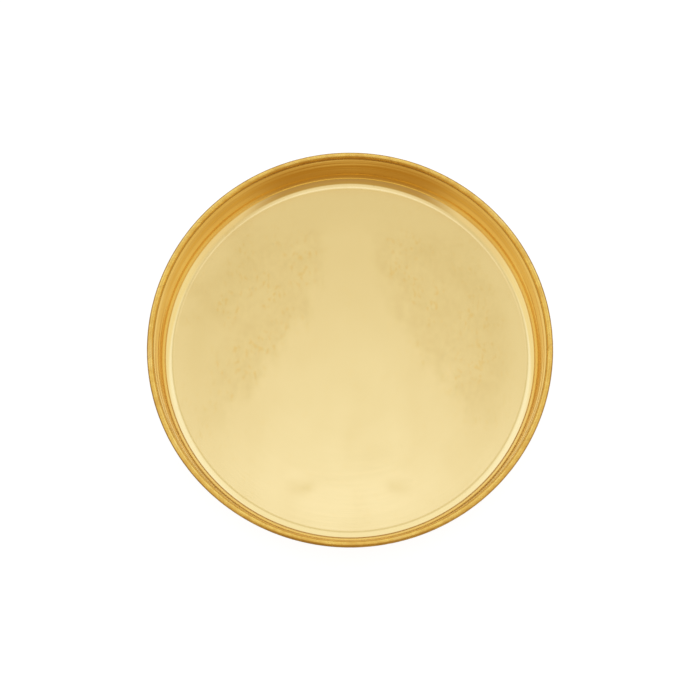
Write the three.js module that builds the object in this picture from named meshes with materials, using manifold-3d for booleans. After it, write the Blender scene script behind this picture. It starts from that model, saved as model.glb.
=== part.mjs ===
// Offering plate: a round, shallow collection plate of spun brass with a wired rim.
//
// Millimetres, +Z up. The origin is the middle of the ring that the plate stands on. The plate is
// a body of revolution about +Z, apart from the butt joints of its bead and its wire.
//
//   pan             one spun sheet: floor, foot ring, cove, wall, and a ledge turned out at its top
//   rim_bead        a brass tube with a slit, bent to a ring and closed over the ledge's edge
//   rim_core_wire   the steel wire inside the tube, which keeps the rim round and stiff
import * as THREE from "three";
import { mergeVertices } from "three/addons/utils/BufferGeometryUtils.js";
import Module from "manifold-3d";

// ---- driving dimensions -------------------------------------------------------------------
const PLATE_D = 304.8; // across the bead, 12 in
const PLATE_H = 38.1; // from the table to the top of the bead, 1.5 in
const SHEET = 0.8; // brass sheet of the pan
const SEGMENTS = 80; // facets round the axis

const BEAD_D = 4.7; // outside diameter of the rim tube
const BEAD_WALL = 0.5; // sheet of the rim tube
const WIRE_D = 2.5; // core wire
const WIRE_OFF = 0.22; // the wire lies this far up and out from the tube's middle, clear of the ledge
const LEDGE_DROP = 0.5; // the ledge's top face is this far under the middle of the bead
const LEDGE_TIP = 1.2; // the ledge's edge stops this far short of the middle of the bead
const GAP = 0.3; // clearance between the ledge and the lips of the bead's slit
const BUTT_GAP = 0.6; // opening between the two ends of the core wire
const SEAM_GAP = 0.3; // opening of the bead's own butt joint

const WALL_TOP_R = 147.2; // inner face of the wall, where the bend to the ledge starts
const WALL_DRAFT = 7.0; // degrees that the wall leans out
const BEND_R = 1.1; // inner-face radius of the bend from wall to ledge
const COVE_R = 9.5; // inner-face radius of the cove between floor and wall
const FOOT_W = 4.9; // width of the flat foot ring, inside the cove
const FLOOR_RAISE = 0.3; // the floor stands this much above the foot ring
const STEP_W = 11.5; // width of the soft rise from the foot ring up to the floor

// ---- derived ------------------------------------------------------------------------------
const BEAD_R = BEAD_D / 2;
const BEAD_C = new THREE.Vector2(PLATE_D / 2 - BEAD_R, PLATE_H - BEAD_R);
const LEDGE_Z = BEAD_C.y - LEDGE_DROP;
const DRAFT = THREE.MathUtils.degToRad(WALL_DRAFT);
const BEND_C = new THREE.Vector2(
  WALL_TOP_R + BEND_R * Math.cos(DRAFT),
  LEDGE_Z - BEND_R,
);
const WALL_TOP_Z = BEND_C.y + BEND_R * Math.sin(DRAFT);
const COVE_CZ = SHEET + COVE_R;
const WALL_FOOT_Z = COVE_CZ - COVE_R * Math.sin(DRAFT);
const WALL_FOOT_R = WALL_TOP_R - (WALL_TOP_Z - WALL_FOOT_Z) * Math.tan(DRAFT);
const COVE_C = new THREE.Vector2(
  WALL_FOOT_R - COVE_R * Math.cos(DRAFT),
  COVE_CZ,
);
const FOOT_IN_R = COVE_C.x - FOOT_W;
const FLOOR_R = FOOT_IN_R - STEP_W;

const at = (r, z) => new THREE.Vector2(r, z);

// Points on an arc about c, from angle a to angle b in degrees, counted from +r towards +z.
function arc(c, radius, a, b, steps) {
  const out = [];
  for (let i = 0; i <= steps; i++) {
    const t = THREE.MathUtils.degToRad(a + ((b - a) * i) / steps);
    out.push(at(c.x + radius * Math.cos(t), c.y + radius * Math.sin(t)));
  }
  return out;
}

// A soft S from (r0, z0) to (r1, z1), both ends level.
function rise(r0, r1, z0, z1) {
  return [0, 0.25, 0.5, 0.75, 1].map((t) =>
    at(r0 + (r1 - r0) * t, z0 + (z1 - z0) * (0.5 - 0.5 * Math.cos(Math.PI * t))),
  );
}

// A body of revolution about +Z. The profile's points are (r, z).
function revolve(profile) {
  const g = new THREE.LatheGeometry(profile, SEGMENTS);
  g.rotateX(Math.PI / 2); // the lathe's own axis is +Y
  g.deleteAttribute("normal");
  g.deleteAttribute("uv");
  return g;
}

// ---- boolean cuts -------------------------------------------------------------------------
const wasm = await Module();
wasm.setup();

function solid(geometry) {
  const g = mergeVertices(geometry, 1e-4);
  return new wasm.Manifold(
    new wasm.Mesh({
      numProp: 3,
      vertProperties: new Float32Array(g.attributes.position.array),
      triVerts: new Uint32Array(g.index.array),
    }),
  );
}

function geometryOf(manifold) {
  const m = manifold.getMesh();
  const g = new THREE.BufferGeometry();
  g.setAttribute(
    "position",
    new THREE.BufferAttribute(new Float32Array(m.vertProperties), 3),
  );
  g.setIndex(new THREE.BufferAttribute(new Uint32Array(m.triVerts), 1));
  g.computeVertexNormals();
  return g;
}

// A block across the rim at one angle, which opens a butt joint.
function jointCut(width, degrees) {
  const g = new THREE.BoxGeometry(12, width, 12);
  g.translate(BEAD_C.x, 0, BEAD_C.y);
  g.rotateZ(THREE.MathUtils.degToRad(degrees));
  g.deleteAttribute("normal");
  g.deleteAttribute("uv");
  return solid(g);
}

// ---- profiles -----------------------------------------------------------------------------
// Pan: the underside outwards, round the ledge's edge, and back over the inner face.
const panProfile = [
  at(0, FLOOR_RAISE),
  ...rise(FLOOR_R, FOOT_IN_R, FLOOR_RAISE, 0),
  ...arc(COVE_C, COVE_R + SHEET, -90, -WALL_DRAFT, 7),
  ...arc(BEND_C, BEND_R - SHEET, 180 - WALL_DRAFT, 90, 2),
  at(BEAD_C.x - LEDGE_TIP, LEDGE_Z - SHEET),
  at(BEAD_C.x - LEDGE_TIP, LEDGE_Z),
  ...arc(BEND_C, BEND_R, 90, 180 - WALL_DRAFT, 4),
  ...arc(COVE_C, COVE_R, -WALL_DRAFT, -90, 7),
  ...rise(FOOT_IN_R, FLOOR_R, SHEET, SHEET + FLOOR_RAISE),
  at(0, SHEET + FLOOR_RAISE),
];

// Bead: a tube, open at its lower inner side, where the ledge goes in. The slit's two faces are
// level, one above the ledge and one under it.
const slitAt = (depth, radius) =>
  THREE.MathUtils.radToDeg(Math.asin(depth / radius));
const SLIT_TOP = LEDGE_DROP - GAP;
const SLIT_FOOT = LEDGE_DROP + SHEET + GAP;
const BORE_R = BEAD_R - BEAD_WALL;
const beadOuter = arc(
  BEAD_C,
  BEAD_R,
  180 + slitAt(SLIT_FOOT, BEAD_R),
  540 + slitAt(SLIT_TOP, BEAD_R),
  13,
);
const beadInner = arc(
  BEAD_C,
  BORE_R,
  540 + slitAt(SLIT_TOP, BORE_R),
  180 + slitAt(SLIT_FOOT, BORE_R),
  9,
);
const beadProfile = [...beadOuter, ...beadInner, beadOuter[0].clone()];

// Wire: round, held against the side of the tube that is away from the ledge.
const wireProfile = arc(
  at(BEAD_C.x + WIRE_OFF, BEAD_C.y + WIRE_OFF),
  WIRE_D / 2,
  0,
  360,
  8,
);
wireProfile[8].copy(wireProfile[0]);

// ---- the plate ----------------------------------------------------------------------------
const plate = new THREE.Group();
plate.name = "offering_plate";

function add(name, geometry, color, roughness) {
  const mesh = new THREE.Mesh(
    geometry,
    new THREE.MeshStandardMaterial({ color, roughness, metalness: 1 }),
  );
  mesh.name = name;
  plate.add(mesh);
}

add("pan", revolve(panProfile), 0xe6cf8a, 0.24);
add(
  "rim_bead",
  geometryOf(solid(revolve(beadProfile)).subtract(jointCut(SEAM_GAP, 0))),
  0xd9ad4e,
  0.34,
);
add(
  "rim_core_wire",
  geometryOf(solid(revolve(wireProfile)).subtract(jointCut(BUTT_GAP, 180))),
  0x8c8a86,
  0.5,
);

export default plate;
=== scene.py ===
"""Looks for the offering plate: a spun brass pan with a wired bead, on a pale studio floor.

Everything is in metres, in the frame of the CAD model. The pan and the bead are lathed afresh at
a fine resolution, with the small unevenness that hand-spun sheet has, and each material is made
of nodes only.
"""
import math

import bpy
import numpy as np
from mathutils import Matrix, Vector


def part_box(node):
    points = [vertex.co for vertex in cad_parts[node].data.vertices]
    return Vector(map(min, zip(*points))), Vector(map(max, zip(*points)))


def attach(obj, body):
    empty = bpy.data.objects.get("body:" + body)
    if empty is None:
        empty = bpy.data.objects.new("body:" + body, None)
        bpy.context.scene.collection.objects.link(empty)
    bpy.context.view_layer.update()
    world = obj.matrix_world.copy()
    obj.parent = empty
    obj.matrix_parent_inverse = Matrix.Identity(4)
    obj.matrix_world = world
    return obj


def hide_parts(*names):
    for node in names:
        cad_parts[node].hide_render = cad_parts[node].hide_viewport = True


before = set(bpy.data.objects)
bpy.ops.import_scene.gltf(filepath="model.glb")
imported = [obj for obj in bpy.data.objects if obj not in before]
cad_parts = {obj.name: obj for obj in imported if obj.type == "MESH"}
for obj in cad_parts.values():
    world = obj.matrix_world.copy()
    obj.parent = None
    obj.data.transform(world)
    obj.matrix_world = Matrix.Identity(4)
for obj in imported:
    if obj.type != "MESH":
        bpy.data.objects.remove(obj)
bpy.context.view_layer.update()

MM = 0.001
bead_lo, bead_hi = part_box("rim_bead")
pan_lo, pan_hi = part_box("pan")

# ---- section sizes, as in the CAD model ---------------------------------------------------
PLATE_R = -bead_lo.x
PLATE_H = bead_hi.z
SHEET = 0.8 * MM
BEAD_R = 2.35 * MM
BEAD_WALL = 0.5 * MM
LEDGE_DROP = 0.5 * MM
LEDGE_TIP = 1.2 * MM
LIP_GAP = 0.15 * MM
WALL_TOP_R = 147.2 * MM
WALL_DRAFT = math.radians(7.0)
BEND_R = 1.1 * MM
COVE_R = 9.5 * MM
FOOT_W = 4.9 * MM
STEP_W = 11.5 * MM
FLOOR_RAISE = 0.3 * MM

BEAD_C = (PLATE_R - BEAD_R, PLATE_H - BEAD_R)
LEDGE_Z = BEAD_C[1] - LEDGE_DROP
BEND_C = (WALL_TOP_R + BEND_R * math.cos(WALL_DRAFT), LEDGE_Z - BEND_R)
WALL_TOP_Z = BEND_C[1] + BEND_R * math.sin(WALL_DRAFT)
WALL_FOOT_Z = SHEET + COVE_R * (1 - math.sin(WALL_DRAFT))
WALL_FOOT_R = WALL_TOP_R - (WALL_TOP_Z - WALL_FOOT_Z) * math.tan(WALL_DRAFT)
COVE_C = (WALL_FOOT_R - COVE_R * math.cos(WALL_DRAFT), SHEET + COVE_R)
FOOT_IN_R = COVE_C[0] - FOOT_W
FLOOR_R = FOOT_IN_R - STEP_W


# ---- mesh helpers -------------------------------------------------------------------------
def arc(c, r, a, b, n):
    t = np.radians(np.linspace(a, b, n + 1))
    return [(c[0] + r * math.cos(x), c[1] + r * math.sin(x)) for x in t]


def line(a, b, n):
    return [
        (a[0] + (b[0] - a[0]) * i / n, a[1] + (b[1] - a[1]) * i / n)
        for i in range(n + 1)
    ]


def joined(*runs):
    out = []
    for run in runs:
        for p in run:
            if not out or math.hypot(p[0] - out[-1][0], p[1] - out[-1][1]) > 1e-6:
                out.append(p)
    return out


def mesh_object(name, verts, quads, tris=()):
    me = bpy.data.meshes.new(name)
    quads = np.asarray(quads, np.int32).reshape(-1, 4)
    tris = np.asarray(tris, np.int32).reshape(-1, 3)
    me.vertices.add(len(verts))
    me.vertices.foreach_set("co", np.asarray(verts, np.float32).ravel())
    loops = np.concatenate([quads.ravel(), tris.ravel()])
    me.loops.add(len(loops))
    me.loops.foreach_set("vertex_index", loops)
    starts = np.concatenate(
        [
            np.arange(len(quads)) * 4,
            len(quads) * 4 + np.arange(len(tris)) * 3,
        ]
    ).astype(np.int32)
    me.polygons.add(len(starts))
    me.polygons.foreach_set("loop_start", starts)
    me.update(calc_edges=True)
    me.validate()
    me.shade_smooth()
    o = bpy.data.objects.new(name, me)
    bpy.context.scene.collection.objects.link(o)
    return o


def waves(seed, count, low, high):
    """Unit-sum plane waves for slow, seeded unevenness over x and y."""
    rng = np.random.default_rng(seed)
    length = rng.uniform(low, high, count)
    way = rng.uniform(0, 2 * math.pi, count)
    phase = rng.uniform(0, 2 * math.pi, count)
    size = rng.uniform(0.5, 1.0, count)
    size /= size.sum()

    def f(x, y):
        out = np.zeros_like(x)
        for k, w, p, s in zip(2 * math.pi / length, way, phase, size):
            out += s * np.sin(k * (x * math.cos(w) + y * math.sin(w)) + p)
        return out

    return f


def lobes(seed, orders, size):
    rng = np.random.default_rng(seed)
    phase = rng.uniform(0, 2 * math.pi, len(orders))
    amp = rng.uniform(0.4, 1.0, len(orders)) * size / len(orders)

    def f(t):
        out = np.zeros_like(t)
        for m, p, a in zip(orders, phase, amp):
            out += a * np.sin(m * t + p)
        return out

    return f


# ---- pan ----------------------------------------------------------------------------------
def step(r0, r1, z0, z1, n):
    """A soft S from (r0, z0) to (r1, z1)."""
    return [
        (
            r0 + (r1 - r0) * i / n,
            z0 + (z1 - z0) * (0.5 - 0.5 * math.cos(math.pi * i / n)),
        )
        for i in range(n + 1)
    ]


def pan_profile():
    draft = math.degrees(WALL_DRAFT)
    tip_r = BEAD_C[0] - LEDGE_TIP
    wall_top = (WALL_TOP_R, WALL_TOP_Z)
    back_top = (
        BEND_C[0] - (BEND_R - SHEET) * math.cos(WALL_DRAFT),
        BEND_C[1] + (BEND_R - SHEET) * math.sin(WALL_DRAFT),
    )
    back_foot = (
        COVE_C[0] + (COVE_R + SHEET) * math.cos(WALL_DRAFT),
        COVE_C[1] - (COVE_R + SHEET) * math.sin(WALL_DRAFT),
    )
    under = joined(
        line((0, FLOOR_RAISE), (FLOOR_R, FLOOR_RAISE), 20),
        step(FLOOR_R, FOOT_IN_R, FLOOR_RAISE, 0, 12),
        line((FOOT_IN_R, 0), (COVE_C[0], 0), 3),
        arc(COVE_C, COVE_R + SHEET, -90, -draft, 16),
        line(back_foot, back_top, 30),
        arc(BEND_C, BEND_R - SHEET, 180 - draft, 90, 5),
        arc((tip_r - SHEET / 2, LEDGE_Z - SHEET / 2), SHEET / 2, -90, 90, 8),
    )
    over = joined(
        arc(BEND_C, BEND_R, 90, 180 - draft, 12),
        line(wall_top, (WALL_FOOT_R, WALL_FOOT_Z), 44),
        arc(COVE_C, COVE_R, -draft, -90, 30),
        line((COVE_C[0], SHEET), (FOOT_IN_R, SHEET), 5),
        line((FOOT_IN_R, SHEET), (FLOOR_R, SHEET), 10),
        line((FLOOR_R, SHEET), (0, SHEET), 44),
    )
    return under, over


def make_pan():
    under, over = pan_profile()
    prof = np.array(joined(under, over))
    seg = 400
    t = np.arange(seg) * 2 * math.pi / seg
    inner = prof[1:-1]
    r = np.repeat(inner[:, 0][:, None], seg, 1)
    z = np.repeat(inner[:, 1][:, None], seg, 1)
    th = np.repeat(t[None, :], len(inner), 0)
    x, y = r * np.cos(th), r * np.sin(th)
    # upper face: it climbs gently to the floor's own level, and eases into the cove
    inside = np.arange(len(inner)) >= len(under)
    climb = np.clip((FOOT_IN_R - r) / 0.034, 0, 1)
    ease = np.clip((r - 0.1205) / (COVE_C[0] - 0.1205), 0, 1) * np.clip((0.1425 - r) / 0.0078, 0, 1)
    lift = FLOOR_RAISE * (0.5 - 0.5 * np.cos(math.pi * climb)) + 0.09 * MM * ease**2 * (z < 0.02)
    z = np.where(inside[:, None], z + lift, z)
    # floor: slow dishing and low bumps, none of it on the foot ring
    edge = np.clip((FLOOR_R - 0.002 - r) / 0.022, 0, 1)
    edge = edge * edge * (3 - 2 * edge)
    dz = edge * (
        0.030 * MM * waves(11, 9, 0.03, 0.08)(x, y)
        + 0.10 * MM * waves(12, 5, 0.1, 0.2)(x, y)
    )
    # two shallow knocks near the front
    for cx, cy, w, d in ((-0.037, -0.1, 0.0085, 0.15), (0.037, -0.1, 0.0085, 0.15)):
        q = ((x - cx) ** 2 + ((y - cy) * 1.5) ** 2) / w**2
        dz = dz - d * MM * np.exp(-q)
    # wall: a little out of round, drawn in slightly at its top, with rings from the spinning tool
    up = np.clip((z - 0.0075) / 0.006, 0, 1) * np.clip((WALL_TOP_Z - z) / 0.002, 0, 1)
    up = np.where(r > 0.142, up * up * (3 - 2 * up), 0)
    down = np.maximum(WALL_TOP_Z - z, 0)
    dr = up * lobes(21, [2, 3, 5, 7, 9, 12, 17, 23], 0.14 * MM)(th)
    dr = dr + np.where(r > 0.142, 0.17 * MM * (1 - np.exp(-down / 0.0024)) * np.clip((z - 0.009) / 0.012, 0, 1), 0)
    for seed, pitch, size in ((1, 0.0083, 0.042), (2, 0.0052, 0.024), (3, 0.0031, 0.011), (4, 0.0119, 0.038), (5, 0.0019, 0.0055)):
        drift = lobes(40 + seed, [1, 2, 3, 5, 8], 2.2)(th)
        dr = dr + up * size * MM * np.sin(2 * math.pi * z / pitch + 1.7 * seed + drift)
    r = r + dr
    z = z + dz
    ring = np.stack([r * np.cos(th), r * np.sin(th), z], -1).reshape(-1, 3)
    verts = np.concatenate([[[0, 0, z[0].mean()]], ring, [[0, 0, z[-1].mean()]]])
    n = len(inner)
    j = np.arange(seg)
    k = (j + 1) % seg
    quads = []
    for i in range(n - 1):
        a, b = 1 + i * seg, 1 + (i + 1) * seg
        quads.append(np.stack([a + j, a + k, b + k, b + j], -1))
    quads = np.concatenate(quads)
    last = len(verts) - 1
    tris = np.concatenate(
        [
            np.stack([np.zeros_like(j), 1 + k, 1 + j], -1),
            np.stack([1 + (n - 1) * seg + j, 1 + (n - 1) * seg + k, j * 0 + last], -1),
        ]
    )
    o = mesh_object("pan_spun", verts, quads, tris)
    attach(o, "root")
    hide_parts("pan")
    return o


# ---- bead ---------------------------------------------------------------------------------
def make_bead():
    seg = 1440
    lip = BEAD_WALL / 2
    mid = BEAD_R - lip
    # the rounded lips stop short of the ledge, above and below it
    top = math.degrees(math.asin((LEDGE_DROP - LIP_GAP - lip) / mid))
    foot = math.degrees(math.asin((LEDGE_DROP + SHEET + LIP_GAP + lip) / mid))
    outer = np.linspace(180 + foot, 540 + top, 35)
    sec = [(BEAD_R, a, 1.0) for a in outer]
    for end, first in ((540 + top, True), (180 + foot, False)):
        cx, cz = mid * math.cos(math.radians(end)), mid * math.sin(math.radians(end))
        sweep = np.linspace(0, 180, 7)[1:-1]
        if first:
            for s in sweep:
                a = math.radians(end + s)
                px, pz = cx + lip * math.cos(a), cz + lip * math.sin(a)
                sec.append((math.hypot(px, pz), math.degrees(math.atan2(pz, px)), 0.0))
            for a in np.linspace(540 + top, 180 + foot, 13):
                sec.append((BEAD_R - BEAD_WALL, a, 0.0))
        else:
            for s in sweep:
                a = math.radians(end + 180 + s)
                px, pz = cx + lip * math.cos(a), cz + lip * math.sin(a)
                sec.append((math.hypot(px, pz), math.degrees(math.atan2(pz, px)), 0.0))
    rad = np.array([s[0] for s in sec])
    ang = np.radians([s[1] for s in sec])
    skin = np.array([s[2] for s in sec])
    t = np.arange(seg) * 2 * math.pi / seg
    n = len(sec)
    T = np.repeat(t[None, :], n, 0)
    A = np.repeat(ang[:, None], seg, 1)
    R = np.repeat(rad[:, None], seg, 1)
    S = np.repeat(skin[:, None], seg, 1)
    # rubbed flats and knocks: only ever inwards, so that the bead stays in its box
    rng = np.random.default_rng(5)
    sink = 0.018 * MM * (1 + lobes(31, [31, 47, 64, 89, 120, 171], 1.6)(T))
    for _ in range(240):
        t0 = rng.uniform(0, 2 * math.pi)
        a0 = math.radians(rng.uniform(-40, 165))
        w = rng.uniform(0.7, 2.6) * MM
        h = rng.uniform(0.5, 1.2) * MM
        d = rng.uniform(0.02, 0.09) * MM * min(1.0, w / (1.6 * MM))
        dt = (T - t0 + math.pi) % (2 * math.pi) - math.pi
        da = (A - a0 + math.pi) % (2 * math.pi) - math.pi
        q = (dt * PLATE_R / w) ** 2 + (da * BEAD_R / h) ** 2
        sink = sink + d * np.exp(-q * 1.6)
    R = R - sink * S
    # the butt joint: a fine line across the skin at +X
    dt = (T + math.pi) % (2 * math.pi) - math.pi
    R = R - 0.09 * MM * S * np.exp(-((dt * PLATE_R / (0.32 * MM)) ** 2))
    rr = BEAD_C[0] + R * np.cos(A)
    zz = BEAD_C[1] + R * np.sin(A)
    verts = np.stack([rr * np.cos(T), rr * np.sin(T), zz], -1).reshape(-1, 3)
    j = np.arange(seg)
    k = (j + 1) % seg
    quads = []
    for i in range(n):
        a, b = i * seg, ((i + 1) % n) * seg
        quads.append(np.stack([a + j, a + k, b + k, b + j], -1))
    o = mesh_object("rim_bead_tube", verts, np.concatenate(quads))
    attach(o, "root")
    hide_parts("rim_bead")
    return o


# ---- materials ----------------------------------------------------------------------------
class Nodes:
    """Short names for building a node tree."""

    def __init__(self, name):
        self.mat = bpy.data.materials.new(name)
        self.mat.use_nodes = True
        self.t = self.mat.node_tree
        self.t.nodes.clear()
        self.out = self.t.nodes.new("ShaderNodeOutputMaterial")
        self.bsdf = self.t.nodes.new("ShaderNodeBsdfPrincipled")
        self.t.links.new(self.bsdf.outputs[0], self.out.inputs["Surface"])
        self.co = self.t.nodes.new("ShaderNodeTexCoord").outputs["Object"]
        sep = self.t.nodes.new("ShaderNodeSeparateXYZ")
        self.link(self.co, sep.inputs[0])
        self.x, self.y, self.z = sep.outputs

    def link(self, a, b):
        self.t.links.new(a, b)

    def put(self, socket, value):
        if isinstance(value, bpy.types.NodeSocket):
            self.link(value, socket)
        else:
            socket.default_value = value

    def math(self, op, a, b=0.0, c=0.0, clamp=False):
        n = self.t.nodes.new("ShaderNodeMath")
        n.operation = op
        n.use_clamp = clamp
        for s, v in zip(n.inputs, (a, b, c)):
            self.put(s, v)
        return n.outputs[0]

    def ramp(self, value, lo, hi, to_lo=0.0, to_hi=1.0, smooth=True):
        n = self.t.nodes.new("ShaderNodeMapRange")
        n.interpolation_type = "SMOOTHSTEP" if smooth else "LINEAR"
        for s, v in zip(n.inputs, (value, lo, hi, to_lo, to_hi)):
            self.put(s, v)
        return n.outputs[0]

    def vec(self, x, y, z):
        n = self.t.nodes.new("ShaderNodeCombineXYZ")
        for s, v in zip(n.inputs, (x, y, z)):
            self.put(s, v)
        return n.outputs[0]

    def scaled(self, v, k):
        n = self.t.nodes.new("ShaderNodeVectorMath")
        n.operation = "MULTIPLY"
        self.put(n.inputs[0], v)
        n.inputs[1].default_value = k
        return n.outputs[0]

    def noise(self, v, scale, detail=3.0, rough=0.5, distort=0.0):
        n = self.t.nodes.new("ShaderNodeTexNoise")
        self.put(n.inputs["Vector"], v)
        n.inputs["Scale"].default_value = scale
        n.inputs["Detail"].default_value = detail
        n.inputs["Roughness"].default_value = rough
        n.inputs["Distortion"].default_value = distort
        return n.outputs["Fac"]

    def mix(self, fac, a, b):
        n = self.t.nodes.new("ShaderNodeMix")
        n.data_type = "RGBA"
        self.put(n.inputs[0], fac)
        self.put(n.inputs[6], a)
        self.put(n.inputs[7], b)
        return n.outputs[2]

    def mix_value(self, fac, a, b):
        return self.math("MULTIPLY_ADD", fac, self.math("SUBTRACT", b, a), a)

    def times(self, a, b):
        n = self.t.nodes.new("ShaderNodeMix")
        n.data_type = "RGBA"
        n.blend_type = "MULTIPLY"
        n.inputs[0].default_value = 1.0
        self.put(n.inputs[6], a)
        self.put(n.inputs[7], b)
        return n.outputs[2]

    def bump(self, height, strength, distance, normal=None):
        n = self.t.nodes.new("ShaderNodeBump")
        n.inputs["Strength"].default_value = strength
        n.inputs["Distance"].default_value = distance
        self.put(n.inputs["Height"], height)
        if normal is not None:
            self.link(normal, n.inputs["Normal"])
        return n.outputs[0]

    def polar(self):
        """Distance from the axis, and a vector whose noise runs in streaks round the axis."""
        r = self.math(
            "SQRT",
            self.math(
                "ADD", self.math("MULTIPLY", self.x, self.x), self.math("MULTIPLY", self.y, self.y)
            ),
        )
        safe = self.math("MAXIMUM", r, 1e-4)
        c = self.math("DIVIDE", self.x, safe)
        s = self.math("DIVIDE", self.y, safe)
        return r, c, s


PALE = (0.90, 0.705, 0.31, 1)
DEEP = (0.84, 0.58, 0.19, 1)
# the tarnish colour below also paints the shade in the two knocks near the front
TARNISH_AND_SHADE = (0.58, 0.36, 0.05, 1)
# painted shade and highlight: the wall's darker brass, its darker middle band and its paler top band
WALL_PAINTED_SHADE = (0.87, 0.635, 0.22, 1)
WALL_MIDDLE_PAINTED_SHADE = (0.80, 0.54, 0.135, 1)
WALL_TOP_PAINTED_HIGHLIGHT = (0.89, 0.67, 0.26, 1)


def pan_material():
    m = Nodes("spun_brass")
    r, c, s = m.polar()
    side = m.math("ABSOLUTE", m.x)
    rises = m.math("MULTIPLY", m.ramp(r, 0.1338, 0.1385), m.ramp(m.z, 0.0009, 0.002))
    # streaks left by spinning: long round the axis, fine across it
    across = m.math("MULTIPLY", m.math("ADD", r, m.z), 1000.0)
    spin = m.noise(m.vec(across, m.math("MULTIPLY", c, 2.0), m.math("MULTIPLY", s, 2.0)), 1.2, 4, 0.6)
    spin = m.mix_value(m.ramp(r, 0.004, 0.02), 0.5, spin)
    fine = m.noise(m.vec(across, m.math("MULTIPLY", c, 6.0), m.math("MULTIPLY", s, 6.0)), 5.0, 3, 0.6)
    cloud = m.noise(m.scaled(m.co, (1.0, 0.5, 1.0)), 30.0, 4, 0.5, 0.4)
    # tarnish mottling in two broad fields behind the middle; the clean tongue left between them is a painted
    # highlight, pale down the middle
    wander = m.math("SUBTRACT", m.noise(m.scaled(m.co, (1.0, 0.7, 1.0)), 62.0, 4, 0.6), 0.5)
    highlight_tongue_edge = m.math("MAXIMUM", m.math("MULTIPLY_ADD", m.y, -0.74, 0.0535), m.math("MULTIPLY_ADD", m.y, -0.26, 0.0388))
    highlight_tongue_edge = m.math("MAXIMUM", highlight_tongue_edge, 0.013)
    depth = m.math("ADD", m.math("SUBTRACT", side, highlight_tongue_edge), m.math("MULTIPLY", wander, 0.055))
    tarnish_beside_painted_highlight = m.math("MULTIPLY", m.ramp(depth, -0.006, 0.018), m.ramp(m.y, -0.085, -0.02))
    broad = m.math("SUBTRACT", m.noise(m.co, 21.0, 3, 0.55), 0.5)
    tarnish_beside_painted_highlight = m.math("MULTIPLY", tarnish_beside_painted_highlight, m.ramp(m.math("MULTIPLY_ADD", broad, 0.09, m.y), 0.115, 0.070))
    tarnish_beside_painted_highlight = m.math("MULTIPLY", tarnish_beside_painted_highlight, m.ramp(m.math("MULTIPLY_ADD", broad, 0.12, side), 0.128, 0.086))
    mottle = m.noise(m.scaled(m.co, (1.0, 0.72, 1.0)), 260.0, 3, 0.6)
    dapple = m.noise(m.scaled(m.co, (1.0, 0.8, 1.0)), 85.0, 3, 0.55)
    amount = m.math("MULTIPLY", m.ramp(mottle, 0.3, 0.7, 0.75, 1.2, False), m.ramp(dapple, 0.35, 0.65, 0.82, 1.12))
    fleck = m.noise(m.scaled(m.co, (1.0, 0.5, 1.0)), 480.0, 2, 0.5)
    where = m.noise(m.co, 34.0, 2, 0.5)
    flecks = m.math("MULTIPLY", m.ramp(fleck, 0.575, 0.65), m.ramp(where, 0.42, 0.56))
    flecks = m.math("MULTIPLY", flecks, m.math("MULTIPLY_ADD", tarnish_beside_painted_highlight, 0.85, 0.15))
    # painted shade: the two knocks near the front take a little more of the tarnish colour, so the dents look dark
    hx = m.math("SUBTRACT", side, 0.0372)
    hy = m.math("ADD", m.y, 0.1005)
    near = m.math("SQRT", m.math("ADD", m.math("MULTIPLY", hx, hx), m.math("MULTIPLY", m.math("MULTIPLY", hy, hy), 2.6)))
    painted_shade_in_knocks = m.math("MULTIPLY", m.ramp(near, 0.0165, 0.002), m.ramp(dapple, 0.3, 0.7, 0.6, 1.0))
    top_face = m.ramp(m.z, 0.0006, 0.00085)
    col = m.mix(m.ramp(cloud, 0.35, 0.75, 0.0, 0.06), PALE, DEEP)
    # painted highlight: the tarnish colour goes on the side fields only, so a pale tongue stays down the middle
    col = m.mix(m.math("MULTIPLY", m.math("MULTIPLY", tarnish_beside_painted_highlight, amount), 0.155), col, TARNISH_AND_SHADE)
    col = m.mix(m.math("MULTIPLY", painted_shade_in_knocks, 0.15), col, TARNISH_AND_SHADE)
    col = m.mix(m.math("MULTIPLY", flecks, 0.30), col, (0.82, 0.49, 0.06, 1))
    speck = m.noise(m.co, 420.0, 1, 0.4)
    col = m.mix(m.math("MULTIPLY", m.ramp(speck, 0.80, 0.85), 0.4), col, (0.42, 0.27, 0.09, 1))
    # painted shade: from a little above its foot, the wall takes a darker, more saturated brass; the wall's streaks
    # follow below
    wall = m.math("MULTIPLY", m.ramp(r, 0.1405, 0.1445), m.ramp(m.z, 0.0035, 0.009))
    col = m.mix(wall, col, WALL_PAINTED_SHADE)
    # painted shade and highlight: a darker band round the wall's middle, and a paler band at its top
    sway = m.noise(m.vec(c, s, 2.0), 1.6, 2, 0.5)
    level = m.math("MULTIPLY_ADD", m.math("SUBTRACT", sway, 0.5), 0.004, m.z)
    col = m.mix(m.ramp(level, 0.0155, 0.0195), col, WALL_MIDDLE_PAINTED_SHADE)
    col = m.mix(m.ramp(level, 0.0282, 0.0305), col, WALL_TOP_PAINTED_HIGHLIGHT)
    # three dark lines that the spinning tool left round it
    for height, width, depth in ((0.0288, 0.00042, 0.5), (0.0250, 0.00036, 0.45), (0.0199, 0.0005, 0.6)):
        off = m.math("ABSOLUTE", m.math("SUBTRACT", level, height))
        seen = m.ramp(m.noise(m.vec(c, s, height * 1000), 2.6, 3, 0.6), 0.34, 0.6, 0.25, 1.0)
        line_at = m.math("MULTIPLY", m.ramp(off, width, width * 0.3), m.math("MULTIPLY", seen, depth))
        col = m.mix(line_at, col, (0.58, 0.345, 0.055, 1))
    col = m.mix(m.math("MULTIPLY", rises, m.ramp(spin, 0.35, 0.75, 0.02, 0.3)), col, DEEP)
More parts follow.
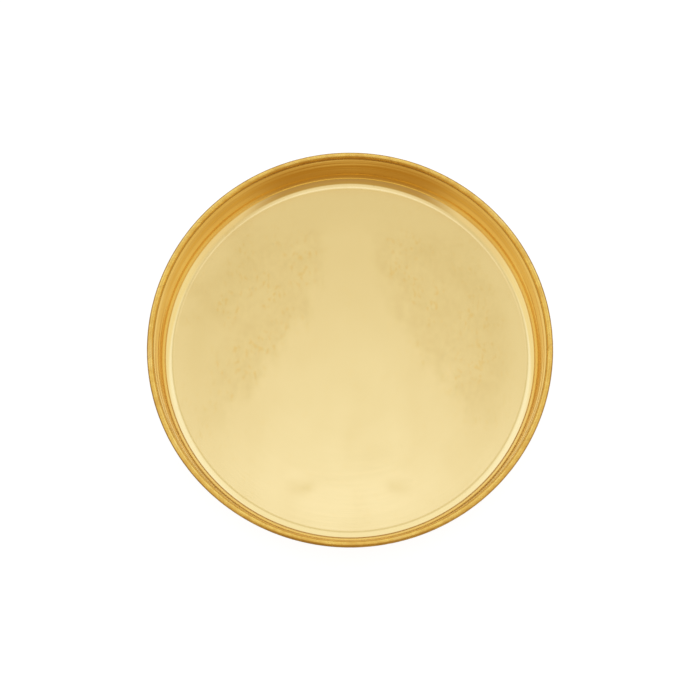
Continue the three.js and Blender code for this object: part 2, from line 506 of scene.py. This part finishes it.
    # hairline scratches, mostly across the floor
    hair = m.noise(m.vec(m.math("MULTIPLY", m.math("MULTIPLY_ADD", m.y, 0.22, m.x), 1000.0), m.math("MULTIPLY", m.y, 14.0), 3.0), 1.1, 1, 0.4)
    hair2 = m.noise(m.vec(m.math("MULTIPLY", m.x, 12.0), m.math("MULTIPLY", m.math("MULTIPLY_ADD", m.x, -0.3, m.y), 1000.0), 7.0), 0.9, 1, 0.4)
    lines = m.math("MAXIMUM", m.ramp(hair, 0.80, 0.84), m.ramp(hair2, 0.80, 0.84))
    lines = m.math("MULTIPLY", lines, m.ramp(m.noise(m.co, 17.0, 2, 0.5), 0.5, 0.62))
    col = m.mix(m.math("MULTIPLY", lines, 0.12), col, (0.7, 0.6, 0.38, 1))
    # thin dark rings that the tool left high on the wall
    rings = m.math("MULTIPLY", m.ramp(fine, 0.60, 0.72), m.math("MULTIPLY", wall, m.ramp(cloud, 0.42, 0.6)))
    col = m.mix(m.math("MULTIPLY", rings, 0.45), col, (0.62, 0.37, 0.08, 1))
    # the outside and the underside were never polished as bright
    lean = math.tan(WALL_DRAFT)
    skin = m.math("SUBTRACT", r, m.math("MULTIPLY_ADD", m.z, lean, WALL_TOP_R - WALL_TOP_Z * lean))
    dx, dz = m.math("SUBTRACT", r, COVE_C[0]), m.math("SUBTRACT", m.z, COVE_C[1])
    turned = m.math("SQRT", m.math("ADD", m.math("MULTIPLY", dx, dx), m.math("MULTIPLY", dz, dz)))
    low = m.math("MULTIPLY", m.ramp(turned, COVE_R + 0.0003, COVE_R + 0.0006), m.ramp(m.z, 0.0105, 0.0085))
    low = m.math("MULTIPLY", low, m.ramp(r, COVE_C[0], COVE_C[0] + 0.002))
    under = m.math("MULTIPLY", m.ramp(m.z, 0.00075, 0.0006), m.ramp(r, COVE_C[0] + 0.003, COVE_C[0] + 0.001))
    outside = m.math("MAXIMUM", m.ramp(skin, 0.0003, 0.0006), m.math("MAXIMUM", low, under))
    stain = m.noise(m.scaled(m.co, (1.0, 1.0, 2.2)), 26.0, 5, 0.6, 0.3)
    dull = m.math("MULTIPLY", outside, m.ramp(stain, 0.42, 0.68))
    col = m.mix(outside, col, m.mix(m.ramp(spin, 0.32, 0.72), (0.86, 0.63, 0.23, 1), (0.74, 0.49, 0.14, 1)))
    col = m.mix(m.math("MULTIPLY", dull, 0.3), col, (0.56, 0.38, 0.13, 1))
    # painted shade: a dark brown line in the groove beside the bead, where the crease is in shade
    painted_groove_shade = m.math("MULTIPLY", m.ramp(m.z, WALL_TOP_Z + 0.0001, WALL_TOP_Z + 0.0006), m.ramp(r, 0.1472, 0.1476))
    col = m.mix(m.math("MULTIPLY", painted_groove_shade, 0.9), col, (0.46, 0.24, 0.035, 1))
    m.put(m.bsdf.inputs["Base Color"], col)
    m.bsdf.inputs["Metallic"].default_value = 1.0
    rough = m.math("ADD", m.ramp(cloud, 0.3, 0.8, 0.205, 0.235), m.ramp(spin, 0.3, 0.8, -0.012, 0.018))
    rough = m.math("ADD", rough, m.math("MULTIPLY", m.math("MULTIPLY", tarnish_beside_painted_highlight, top_face), 0.02))
    rough = m.math("SUBTRACT", rough, m.math("MULTIPLY", rises, 0.115))
    rough = m.math("ADD", rough, m.math("MULTIPLY", outside, 0.10))
    rough = m.math("ADD", rough, m.math("MULTIPLY", dull, 0.10))
    rough = m.math("ADD", rough, m.math("MULTIPLY", painted_groove_shade, 0.25))
    m.put(m.bsdf.inputs["Roughness"], rough)
    # the turning marks fade out at the axis, where they would close to a point
    off_axis = m.ramp(r, 0.004, 0.02)
    marks = m.math("MULTIPLY_ADD", outside, 1.6, m.math("MULTIPLY_ADD", rises, 1.5, 0.2))
    n = m.bump(m.math("MULTIPLY", m.math("MULTIPLY", spin, marks), off_axis), 0.1, 0.00006)
    n = m.bump(m.math("MULTIPLY", fine, off_axis), 0.05, 0.00002, n)
    n = m.bump(m.math("MULTIPLY", mottle, tarnish_beside_painted_highlight), 0.05, 0.00003, n)
    m.link(n, m.bsdf.inputs["Normal"])
    return m.mat


def bead_material():
    m = Nodes("rubbed_brass")
    r, c, s = m.polar()
    across = m.math("MULTIPLY", m.math("ADD", r, m.z), 1000.0)
    drawn = m.noise(m.vec(across, m.math("MULTIPLY", c, 26.0), m.math("MULTIPLY", s, 26.0)), 2.4, 4, 0.6)
    grain = m.noise(m.co, 900.0, 3, 0.6)
    blotch = m.noise(m.co, 120.0, 4, 0.6)
    worn = m.noise(m.co, 38.0, 3, 0.5)
    outside = m.ramp(r, BEAD_C[0] + 0.0006, PLATE_R - 0.0002)
    col = m.mix(m.ramp(blotch, 0.35, 0.7), (0.86, 0.565, 0.125, 1), (0.76, 0.45, 0.085, 1))
    col = m.mix(m.ramp(worn, 0.55, 0.75, 0.0, 0.35), col, (0.91, 0.67, 0.24, 1))
    # painted shade: the bead's outer side goes a darker brown, in blotches
    col = m.mix(m.math("MULTIPLY", outside, m.ramp(blotch, 0.3, 0.65, 0.25, 0.7)), col, (0.56, 0.33, 0.09, 1))
    col = m.mix(m.ramp(grain, 0.6, 0.78, 0.0, 0.5), col, (0.5, 0.33, 0.12, 1))
    # rub marks that run aslant over the bead
    along = m.math("MULTIPLY", m.math("ARCTAN2", m.y, m.x), 152.0)
    over = m.math("ARCTAN2", m.math("SUBTRACT", m.z, BEAD_C[1]), m.math("SUBTRACT", r, BEAD_C[0]))
    slant = m.math("MULTIPLY_ADD", over, 1.9, along)
    rub = m.noise(m.vec(m.math("MULTIPLY", slant, 1.7), m.math("MULTIPLY_ADD", along, 0.12, m.math("MULTIPLY", over, 0.4)), 5.0), 1.0, 2, 0.55)
    slant2 = m.math("MULTIPLY_ADD", over, -1.4, along)
    rub2 = m.noise(m.vec(m.math("MULTIPLY", slant2, 1.3), m.math("MULTIPLY_ADD", along, 0.10, m.math("MULTIPLY", over, 0.5)), 9.0), 1.0, 2, 0.55)
    marks = m.math("MAXIMUM", m.ramp(rub, 0.585, 0.68), m.ramp(rub2, 0.62, 0.71))
    col = m.mix(m.math("MULTIPLY", marks, 0.6), col, (0.50, 0.29, 0.08, 1))
    # painted shade: the bead's inner flank is darkened low down, beside the groove
    painted_groove_shade = m.math("MULTIPLY", m.ramp(m.z, BEAD_C[1] + 0.0010, BEAD_C[1] + 0.0002), m.ramp(r, BEAD_C[0] - 0.0012, BEAD_C[0] - 0.0019))
    col = m.mix(m.math("MULTIPLY", painted_groove_shade, 0.85), col, (0.46, 0.24, 0.035, 1))
    m.put(m.bsdf.inputs["Base Color"], col)
    m.bsdf.inputs["Metallic"].default_value = 1.0
    rough = m.math("ADD", m.ramp(blotch, 0.3, 0.7, 0.22, 0.36), m.ramp(grain, 0.5, 0.8, 0.0, 0.1))
    m.put(m.bsdf.inputs["Roughness"], rough)
    n = m.bump(drawn, 0.35, 0.00012)
    n = m.bump(marks, -0.3, 0.00008, n)
    n = m.bump(blotch, 0.5, 0.0003, n)
    n = m.bump(grain, 0.35, 0.00008, n)
    m.link(n, m.bsdf.inputs["Normal"])
    return m.mat


def wire_material():
    m = Nodes("drawn_steel")
    r, c, s = m.polar()
    across = m.math("ADD", m.math("MULTIPLY", r, 1000.0), m.math("MULTIPLY", m.z, 1000.0))
    drawn = m.noise(m.vec(across, m.math("MULTIPLY", c, 30.0), m.math("MULTIPLY", s, 30.0)), 3.0, 4, 0.6)
    m.put(m.bsdf.inputs["Base Color"], m.mix(drawn, (0.42, 0.41, 0.39, 1), (0.6, 0.59, 0.57, 1)))
    m.bsdf.inputs["Metallic"].default_value = 1.0
    m.put(m.bsdf.inputs["Roughness"], m.ramp(drawn, 0.3, 0.7, 0.3, 0.5))
    m.link(m.bump(drawn, 0.3, 0.0001), m.bsdf.inputs["Normal"])
    return m.mat


# ---- studio -------------------------------------------------------------------------------
def plane(name, z):
    s = 8.0
    return mesh_object(
        name, [(-s, -s, z), (s, -s, z), (s, s, z), (-s, s, z)], [(0, 1, 2, 3)]
    )


def stage_floor():
    """A pale floor for the eye, and a warm mid grey one under it that only reflections see."""
    pale = plane("studio_floor", -0.0004)
    m = Nodes("floor_pale")
    m.bsdf.inputs["Base Color"].default_value = (0.21, 0.21, 0.215, 1)
    m.bsdf.inputs["Roughness"].default_value = 1.0
    m.bsdf.inputs["Specular IOR Level"].default_value = 0.0
    m.bsdf.inputs["Emission Color"].default_value = (1, 1, 1, 1)
    m.bsdf.inputs["Emission Strength"].default_value = 0.89
    pale.data.materials.append(m.mat)
    pale.visible_glossy = False

    grey = plane("studio_floor_reflected", -0.0006)
    m = Nodes("floor_reflected")
    # painted shadow and light: dark close to the plate, pale a hand's width away, with broad painted light patches
    # across it
    r, c, s = m.polar()
    ring = m.mix(m.ramp(r, 0.158, 0.235), (0.40, 0.31, 0.18, 1), (0.78, 0.70, 0.54, 1))
    ring = m.mix(m.ramp(r, 0.30, 0.9), ring, (0.42, 0.33, 0.19, 1))
    painted_light_patches = m.noise(m.vec(c, s, m.math("MULTIPLY", r, 1.5)), 1.3, 2, 0.5)
    ring = m.times(ring, m.mix(m.ramp(painted_light_patches, 0.35, 0.65), (0.66, 0.62, 0.55, 1), (1, 1, 1, 1)))
    m.put(m.bsdf.inputs["Base Color"], ring)
    m.bsdf.inputs["Roughness"].default_value = 1.0
    m.bsdf.inputs["Specular IOR Level"].default_value = 0.0
    grey.data.materials.append(m.mat)
    grey.visible_camera = False
    grey.visible_diffuse = False


SKY_GAIN = 1.4


def sky_colour(*rgb):
    return (*[k / SKY_GAIN for k in rgb], 1)


class Sky(Nodes):
    """The same short names, for the world's tree."""

    def __init__(self, world):
        world.use_nodes = True
        self.t = world.node_tree
        self.t.nodes.clear()
        self.out = self.t.nodes.new("ShaderNodeOutputWorld")
        sep = self.t.nodes.new("ShaderNodeSeparateXYZ")
        self.link(self.t.nodes.new("ShaderNodeTexCoord").outputs["Generated"], sep.inputs[0])
        self.x, self.y, self.z = sep.outputs

    def colours(self, value, lo, hi, stops, how="EASE"):
        """Colours along a value; the stops are (value, colour)."""
        n = self.t.nodes.new("ShaderNodeValToRGB")
        n.color_ramp.interpolation = how
        els = n.color_ramp.elements
        while len(els) < len(stops):
            els.new(0.5)
        for e, (v, rgb) in zip(els, stops):
            e.position = (v - lo) / (hi - lo)
            e.color = sky_colour(*rgb)
        self.link(self.ramp(value, lo, hi, smooth=False), n.inputs[0])
        return n.outputs[0]


def studio():
    stage_floor()
    w = bpy.data.worlds.new("studio")
    bpy.context.scene.world = w
    m = Sky(w)
    # where a direction meets a ceiling one unit up
    up = m.math("MAXIMUM", m.z, 0.03)
    tx = m.math("DIVIDE", m.math("ABSOLUTE", m.x), up)
    ty = m.math("DIVIDE", m.y, up)
    u = m.math("SUBTRACT", ty, 0.12)
    u = m.math("ADD", m.math("MAXIMUM", u, 0.0), m.math("MULTIPLY", m.math("MINIMUM", u, 0.0), 0.4))
    rho = m.math("SQRT", m.math("ADD", m.math("MULTIPLY", tx, tx), m.math("MULTIPLY", u, u)))
    # a large soft light a little behind the middle, a dimmer ring round it
    near = m.colours(rho, 0.0, 0.34, [
        (0.0, (1.10, 1.17, 1.42)),
        (0.03, (1.14, 1.22, 1.55)),
        (0.065, (1.29, 1.46, 2.15)),
        (0.09, (1.14, 1.20, 1.46)),
        (0.12, (0.945, 0.94, 0.93)),
        (0.162, (0.885, 0.88, 0.865)),
        (0.208, (0.81, 0.78, 0.73)),
        (0.28, (0.79, 0.755, 0.70)),
    ], "LINEAR")
    sides = m.math("MULTIPLY", m.ramp(tx, 0.012, 0.10), m.ramp(u, 0.02, 0.10, 0.2, 1.0))
    near = m.times(near, m.mix(sides, (1, 1, 1, 1), (0.94, 0.92, 0.84, 1)))
    # further out: pale behind and at the sides, brown in front
    turn = m.math("DIVIDE", tx, m.math("ADD", m.math("ABSOLUTE", ty), 0.2))
    away = m.math("SQRT", m.math("ADD", m.math("MULTIPLY", tx, tx), m.math("MULTIPLY", ty, ty)))
    aside = m.ramp(turn, 0.42, 0.95)
    window = m.math("MULTIPLY", m.ramp(turn, 0.25, 0.8), m.ramp(turn, 2.6, 1.3))
    back = m.mix(window, sky_colour(1.05, 1.12, 1.30), sky_colour(1.10, 1.22, 1.60))
    far = m.mix(m.ramp(turn, 1.0, 2.5), back, sky_colour(1.0, 1.0, 0.96))
    warm = m.colours(away, 0.0, 1.5, [
        (0.3, (0.92, 0.89, 0.86)),
        (0.48, (0.84, 0.79, 0.73)),
        (0.75, (0.91, 0.87, 0.81)),
        (1.1, (0.93, 0.88, 0.80)),
    ], "LINEAR")
    warm = m.mix(m.ramp(turn, 1.3, 3.0), warm, sky_colour(1.0, 1.0, 0.96))
    far = m.mix(m.ramp(ty, 0.10, -0.12), far, warm)
    col = m.mix(m.ramp(rho, 0.30, 0.48), near, far)
    reach = m.math("MULTIPLY_ADD", tx, 0.9, m.math("MULTIPLY", ty, -1.0))
    front = m.colours(reach, -0.1, 2.4, [
        (-0.05, (1.02, 1.05, 1.15)),
        (0.12, (0.96, 0.96, 1.0)),
        (0.40, (0.95, 0.96, 1.05)),
        (0.53, (0.94, 0.95, 1.06)),
        (0.65, (0.69, 0.60, 0.44)),
        (0.80, (0.56, 0.41, 0.20)),
        (2.0, (0.52, 0.37, 0.20)),
    ], "LINEAR")
    ahead = m.math("MULTIPLY", m.ramp(ty, 0.06, -0.14), m.math("SUBTRACT", 1.0, aside))
    col = m.mix(ahead, col, front)
    # the low part of the room is darker and warm, less so at the sides
    flank = m.math("ABSOLUTE", m.x)
    flank = m.ramp(m.math("SUBTRACT", flank, m.math("ABSOLUTE", m.y)), -0.3, 0.5)
    dark = m.mix(flank, (0.46, 0.34, 0.15, 1), (0.62, 0.50, 0.27, 1))
    low = m.mix(m.ramp(m.z, 0.05, 0.25), dark, (1, 1, 1, 1))
    sky = m.t.nodes.new("ShaderNodeBackground")
    sky.inputs[1].default_value = SKY_GAIN
    m.link(m.times(col, low), sky.inputs[0])
    # behind everything the eye sees plain white
    plain = m.t.nodes.new("ShaderNodeBackground")
    plain.inputs[0].default_value = (1, 1, 1, 1)
    pick = m.t.nodes.new("ShaderNodeMixShader")
    path = m.t.nodes.new("ShaderNodeLightPath")
    m.link(path.outputs["Is Camera Ray"], pick.inputs[0])
    m.link(sky.outputs[0], pick.inputs[1])
    m.link(plain.outputs[0], pick.inputs[2])
    m.link(pick.outputs[0], m.out.inputs[0])


def camera():
    cam = bpy.data.cameras.new("camera")
    o = bpy.data.objects.new("camera", cam)
    bpy.context.scene.collection.objects.link(o)
    tilt = math.radians(13.6)
    far = 1.4
    aim = Vector((0, -0.0043, PLATE_H))
    back = Vector((0, -math.sin(tilt), math.cos(tilt)))
    o.location = aim + back * far
    o.rotation_mode = "QUATERNION"
    o.rotation_quaternion = (-back).to_track_quat("-Z", "Y")
    cam.lens = 96.2
    cam.sensor_width = 36
    bpy.context.scene.camera = o


pan = make_pan()
bead = make_bead()
pan.data.materials.append(pan_material())
bead.data.materials.append(bead_material())
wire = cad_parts["rim_core_wire"]
wire.data.materials.clear()
wire.data.materials.append(wire_material())
for p in wire.data.polygons:
    p.use_smooth = False
studio()
camera()

sc = bpy.context.scene
sc.view_settings.view_transform = "Standard"
sc.view_settings.look = "None"
sc.view_settings.exposure = 0.0
sc.view_settings.gamma = 1.0
